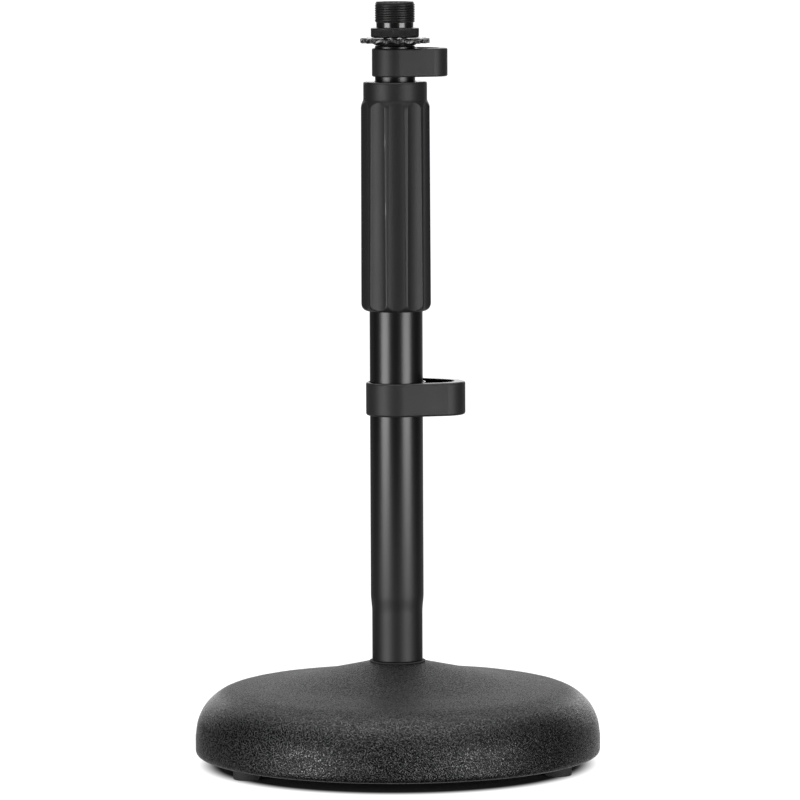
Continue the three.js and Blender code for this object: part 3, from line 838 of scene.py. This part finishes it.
def adapter_shape(angle, radius, height, index):
    if radius > ADAPTER_THREAD_RADIUS + 1:
        edge = smoothstep((height - adapter_low - 0.5) / 0.4) * smoothstep((flange_top - 0.35 - height) / 0.4)
        return radius - KNURL_DEPTH * knurl(angle, height) * edge, height
    return threaded(thread_low, adapter_top - 0.3, ADAPTER_ROOT + 0.1, ADAPTER_PITCH, 0.7)(
        angle, radius, height, index)


bore = STUD_RADIUS + CLEARANCE
adapter = revolve("threaded_adapter", [
    *rounded([
        (bore, adapter_low + 3, 0), (bore, adapter_low, 0.5), (flange_radius - 0.3, adapter_low, 0.1),
        (flange_radius, adapter_low + 0.5, 0.1), (flange_radius, adapter_low + 0.8, 0)]),
    *split((flange_radius, adapter_low + 0.8), (flange_radius, flange_top - 0.8), 18),
    *rounded([
        (flange_radius, flange_top - 0.8, 0), (flange_radius, flange_top, 0.3),
        (ADAPTER_ROOT, flange_top, 0.3), (ADAPTER_ROOT, thread_low, 0.1),
        (ADAPTER_THREAD_RADIUS, thread_low + 0.25, 0)]),
    *thread_steps(ADAPTER_THREAD_RADIUS, thread_low + 0.25, adapter_top - 0.5, ADAPTER_PITCH, 12),
    (ADAPTER_THREAD_RADIUS, adapter_top - 0.5), (ADAPTER_ROOT, adapter_top), (bore + 0.6, adapter_top),
    (bore, adapter_top - 0.6)], KNURLS * 6, adapter_shape)
dress(adapter, "thread_adapter", "thread_adapter", ADAPTER_PLATE)


# ---- Cable clips ----

CLIP_RING = 12.15
CLIP_WALL = 3.0
CLIP_TIP_WALL = 2.2
CLIP_FRONT = -75  # degrees: where the flat front wall leaves the ring
CLIP_BACK = 67  # degrees: where the round end runs out into the back wall
CLIP_END = (17.3, 2.7)
CLIP_HOLLOW_X = 14.9  # the hollow's own end is rounded about here, so the end wall is thicker
CLIP_BACK_LENGTH = 12.5
CLIP_SNAP = (75, 130)  # degrees: the opening in the ring
# Node, body, radius of the tube and size beside the lower clip.
CLIPS = [("lower_cable_clip", "lower_clip", 10.6, 1.0), ("upper_cable_clip", "upper_clip", 8.0, 0.757)]


def clip_outline(tube_radius, scale):
    """The clip from above: a ring open at the back, a flat front wall, a round end and a free back wall.

    Each point is (x, y, rounding), where the rounding is that of the clip's top and bottom edge there."""
    ring, wall, tip = CLIP_RING * scale, CLIP_WALL * scale, CLIP_TIP_WALL * scale
    end_x, end_y = CLIP_END[0] * scale, CLIP_END[1] * scale
    front, back = math.radians(CLIP_FRONT), math.radians(CLIP_BACK)
    end_radius = ring - (end_x * math.cos(front) + end_y * math.sin(front))
    hollow_x = CLIP_HOLLOW_X * scale
    hollow_radius = ring - wall - (hollow_x * math.cos(front) + end_y * math.sin(front))
    out = Vector((math.cos(back), math.sin(back)))
    tail_start = Vector((end_x, end_y)) + out * end_radius
    tip_outer = tail_start + Vector((-out.y, out.x)) * CLIP_BACK_LENGTH * scale
    tip_inner = tip_outer - out * tip
    tip_end = (tip_outer + tip_inner) / 2 + Vector((-out.y, out.x)) * tip * 0.35
    inner_start = CLIP_FRONT + math.degrees(math.acos((ring - wall) / ring))
    start, end = CLIP_SNAP
    outside = [
        *arc(0, 0, ring, end - 360 + 3, CLIP_FRONT, 72),
        *arc(end_x, end_y, end_radius, CLIP_FRONT, CLIP_BACK, 60)[1:],
    ]
    tail = [*split(tail_start, tip_outer, 8), tuple(tip_outer), tuple(tip_end), tuple(tip_inner)]
    inside = [
        *arc(hollow_x, end_y, hollow_radius, CLIP_BACK, CLIP_FRONT, 52),
        *arc(0, 0, ring, inner_start, start - 3, 52),
    ]
    bore = arc(0, 0, tube_radius + CLEARANCE, start, end - 360, 120)
    return [(x, y, rounding * scale)
            for points, rounding in ((outside, 0.9), (tail, 0.8), (inside, 0.4), (bore, 0.25))
            for x, y in points]


def moulding(name, outline, bottom, top, steps=6):
    """A plate of the outline's shape, in mm, with its own edge rounding at each point."""
    count = len(outline)
    roundings = [sum(outline[(i + j) % count][2] for j in range(-2, 3)) / 5 for i in range(count)]
    inward = []
    for i in range(count):
        ahead, behind = outline[(i + 1) % count], outline[i - 1]
        inward.append(Vector((behind[1] - ahead[1], ahead[0] - behind[0])).normalized())
    turns = [math.pi / 2 * i / steps for i in range(steps + 1)]
    layers = [(math.sin(t), bottom, 1 - math.cos(t)) for t in turns]
    layers += [(math.sin(t), top, math.cos(t) - 1) for t in reversed(turns)]
    work = bmesh.new()
    loops = []
    for reach, level, rise in layers:
        loops.append([
            work.verts.new(
                (Vector((x, y)) + side * r * (1 - reach)).to_3d() * MM + UP * (level + rise * r) * MM)
            for (x, y, _), side, r in zip(outline, inward, roundings)])
    for lower, upper in zip(loops, loops[1:]):
        for i in range(count):
            j = (i + 1) % count
            work.faces.new((lower[i], lower[j], upper[j], upper[i]))
    caps = [work.faces.new(loops[-1]), work.faces.new(loops[0][::-1])]
    bmesh.ops.triangulate(work, faces=caps)
    mesh = bpy.data.meshes.new(name)
    work.to_mesh(mesh)
    work.free()
    return finish_mesh(name, mesh)


for node, body, tube_radius, scale in CLIPS:
    low, high, _ = extent(node)
    clip = moulding(node + "_shell", clip_outline(tube_radius, scale), low, high)
    even_shading(clip)
    dress(clip, body, node, CLIP_PLASTIC)


# ---- Stage: pale floor, studio lights and camera ----

FLOOR_REACH = 14
# Radii of the painted shadow on the floor, in metres from the axis: no glow inside the first, full glow
# outside the second.
PAINTED_SHADOW_INSIDE = 0.072
PAINTED_SHADOW_OUTSIDE = 0.0815
FLOOR_LIGHT = 1.05

floor_mesh = bpy.data.meshes.new("floor")
floor_corners = [(x * FLOOR_REACH, y * FLOOR_REACH, 0) for x, y in ((-1, -1), (1, -1), (1, 1), (-1, 1))]
floor_mesh.from_pydata(floor_corners, [], [(0, 1, 2, 3)])
floor = bpy.data.objects.new("floor", floor_mesh)
bpy.context.scene.collection.objects.link(floor)
floor_look = Look("pale floor")
# The floor itself is dark. It looks pale only through its own glow, which is cut off under the stand as a
# painted shadow.
floor_look.set(Base_Color=(0.08, 0.08, 0.08, 1), Roughness=0.9, Specular_IOR_Level=0.1,
               Emission_Color=(1, 1, 1, 1))
# The floor's own even glow reaches up to the stand's rim. In a disc under the stand the glow fades to
# nothing, a painted contact shadow set by distance from the axis rather than by light, and there the dark
# floor shows only the light that gets in.
from_stand = floor_look.add("ShaderNodeVectorMath", operation="LENGTH")
floor_look.link(floor_look.place, from_stand.inputs[0])
painted_shadow_edge = floor_look.level(from_stand.outputs["Value"], PAINTED_SHADOW_INSIDE, PAINTED_SHADOW_OUTSIDE, 0.0, FLOOR_LIGHT)
painted_shadow_edge.node.interpolation_type = "SMOOTHSTEP"
floor_look.link(painted_shadow_edge, floor_look.shader.inputs["Emission Strength"])
floor_mesh.materials.append(floor_look.material)
# The strips reach below the floor, so that the low rim sees them; the floor neither mirrors nor blocks them.
floor.visible_glossy = False
floor.visible_shadow = False


def softbox(name, azimuth, distance, width, height, middle_height, radiance):
    """A rectangular light facing the stand. Azimuth 0 is at the camera, and positive to its right."""
    angle = math.radians(azimuth)
    data = bpy.data.lights.new(name, "AREA")
    data.shape = "RECTANGLE"
    data.size, data.size_y = width, height
    data.energy = radiance * math.pi * width * height
    light = bpy.data.objects.new(name, data)
    light.location = (distance * math.sin(angle), -distance * math.cos(angle), middle_height)
    aim = Vector((0, 0, middle_height)) - light.location
    light.rotation_euler = aim.to_track_quat("-Z", "Y").to_euler()
    bpy.context.scene.collection.objects.link(light)
    return light


STRIP_WIDTH = 0.77
STRIP_HEIGHT = 0.62
STRIP_MIDDLE = 0.05
STRIP_DISTANCE = 1.3
softbox("left strip", -50, STRIP_DISTANCE, STRIP_WIDTH, STRIP_HEIGHT, STRIP_MIDDLE, 8.4)
softbox("right strip", 45, STRIP_DISTANCE, STRIP_WIDTH, STRIP_HEIGHT, STRIP_MIDDLE, 7.7)
overhead = softbox("overhead", 180, 0.1, 3.2, 3.4, 2.2, 2.6)
overhead.rotation_euler = (0, 0, 0)

# The surroundings: dark, but for pale paper that curves up behind the stand and a low glow to its right.
# Directions run from -1 to 1 to the right (across), away from the camera (back) and up (height).
world = bpy.data.worlds.new("studio")
world.use_nodes = True
bpy.context.scene.world = world
sky = world.node_tree


def sky_math(operation, first, second):
    """What an operation makes of two values, each a number or a node's output."""
    node = sky.nodes.new("ShaderNodeMath")
    node.operation = operation
    for socket, value in zip(node.inputs, (first, second)):
        if isinstance(value, (int, float)):
            socket.default_value = value
        else:
            sky.links.new(value, socket)
    return node.outputs["Value"]


def sky_ramp(value, low, high, strength):
    """Rises from nothing to the strength between two levels of the value."""
    node = sky.nodes.new("ShaderNodeMapRange")
    for key, number in (("From Min", low), ("From Max", high), ("To Min", 0.0), ("To Max", strength)):
        node.inputs[key].default_value = number
    sky.links.new(value, node.inputs["Value"])
    return node.outputs["Result"]


ROOM_LIGHT = 0.03
parts = sky.nodes.new("ShaderNodeSeparateXYZ")
sky.links.new(sky.nodes.new("ShaderNodeTexCoord").outputs["Generated"], parts.inputs["Vector"])
across, back, height = parts.outputs
wall = sky_math("MULTIPLY", sky_ramp(height, 0.1, 0.45, 0.3), sky_ramp(back, 0.6, 0.9, 1.0))
sweep = sky_math("MULTIPLY", sky_ramp(height, 0.0, 0.08, 1.5), sky_ramp(back, 0.76, 0.92, 1.0))
sweep = sky_math("MULTIPLY", sweep, sky_ramp(height, 0.65, 0.35, 1.0))
foot = sky_math("MULTIPLY", sky_ramp(height, -0.2, -0.1, 1.1), sky_ramp(back, 0.93, 0.98, 1.0))
glow = sky_ramp(sky_math("ADD", back, sky_math("MULTIPLY", across, 0.35)), 0.9, 1.2, 0.6)
apron = sky_math("MULTIPLY", sky_ramp(height, -0.12, -0.16, 0.5), sky_ramp(back, 0.3, 0.6, 1.0))
behind = sky_math("MAXIMUM", sky_math("MAXIMUM", wall, sweep), sky_math("MAXIMUM", foot, apron))
backdrop = sky.nodes["Background"]
sky.links.new(sky_math("ADD", sky_math("ADD", behind, glow), ROOM_LIGHT), backdrop.inputs["Strength"])
backdrop.inputs["Color"].default_value = (1, 1, 1, 1)

CAMERA_BACK = 2.4
CAMERA_HEIGHT = 0.38
CAMERA_SIDE = 0.00142
AIM_HEIGHT = 0.1466
CAMERA_ROLL = math.radians(0.24)
SENSOR_WIDTH = 36
FOCAL_LENGTH = 271.6
camera_data = bpy.data.cameras.new("camera")
camera_data.sensor_width = SENSOR_WIDTH
camera_data.lens = FOCAL_LENGTH
camera_data.clip_end = 60
camera = bpy.data.objects.new("camera", camera_data)
camera.location = (CAMERA_SIDE, -CAMERA_BACK, CAMERA_HEIGHT)
aim = Vector((CAMERA_SIDE, 0, AIM_HEIGHT)) - camera.location
facing = aim.to_track_quat("-Z", "Y").to_matrix() @ Matrix.Rotation(-CAMERA_ROLL, 3, "Z")
camera.rotation_euler = facing.to_euler()
bpy.context.scene.collection.objects.link(camera)
bpy.context.scene.camera = camera
bpy.context.scene.view_settings.view_transform = "Standard"
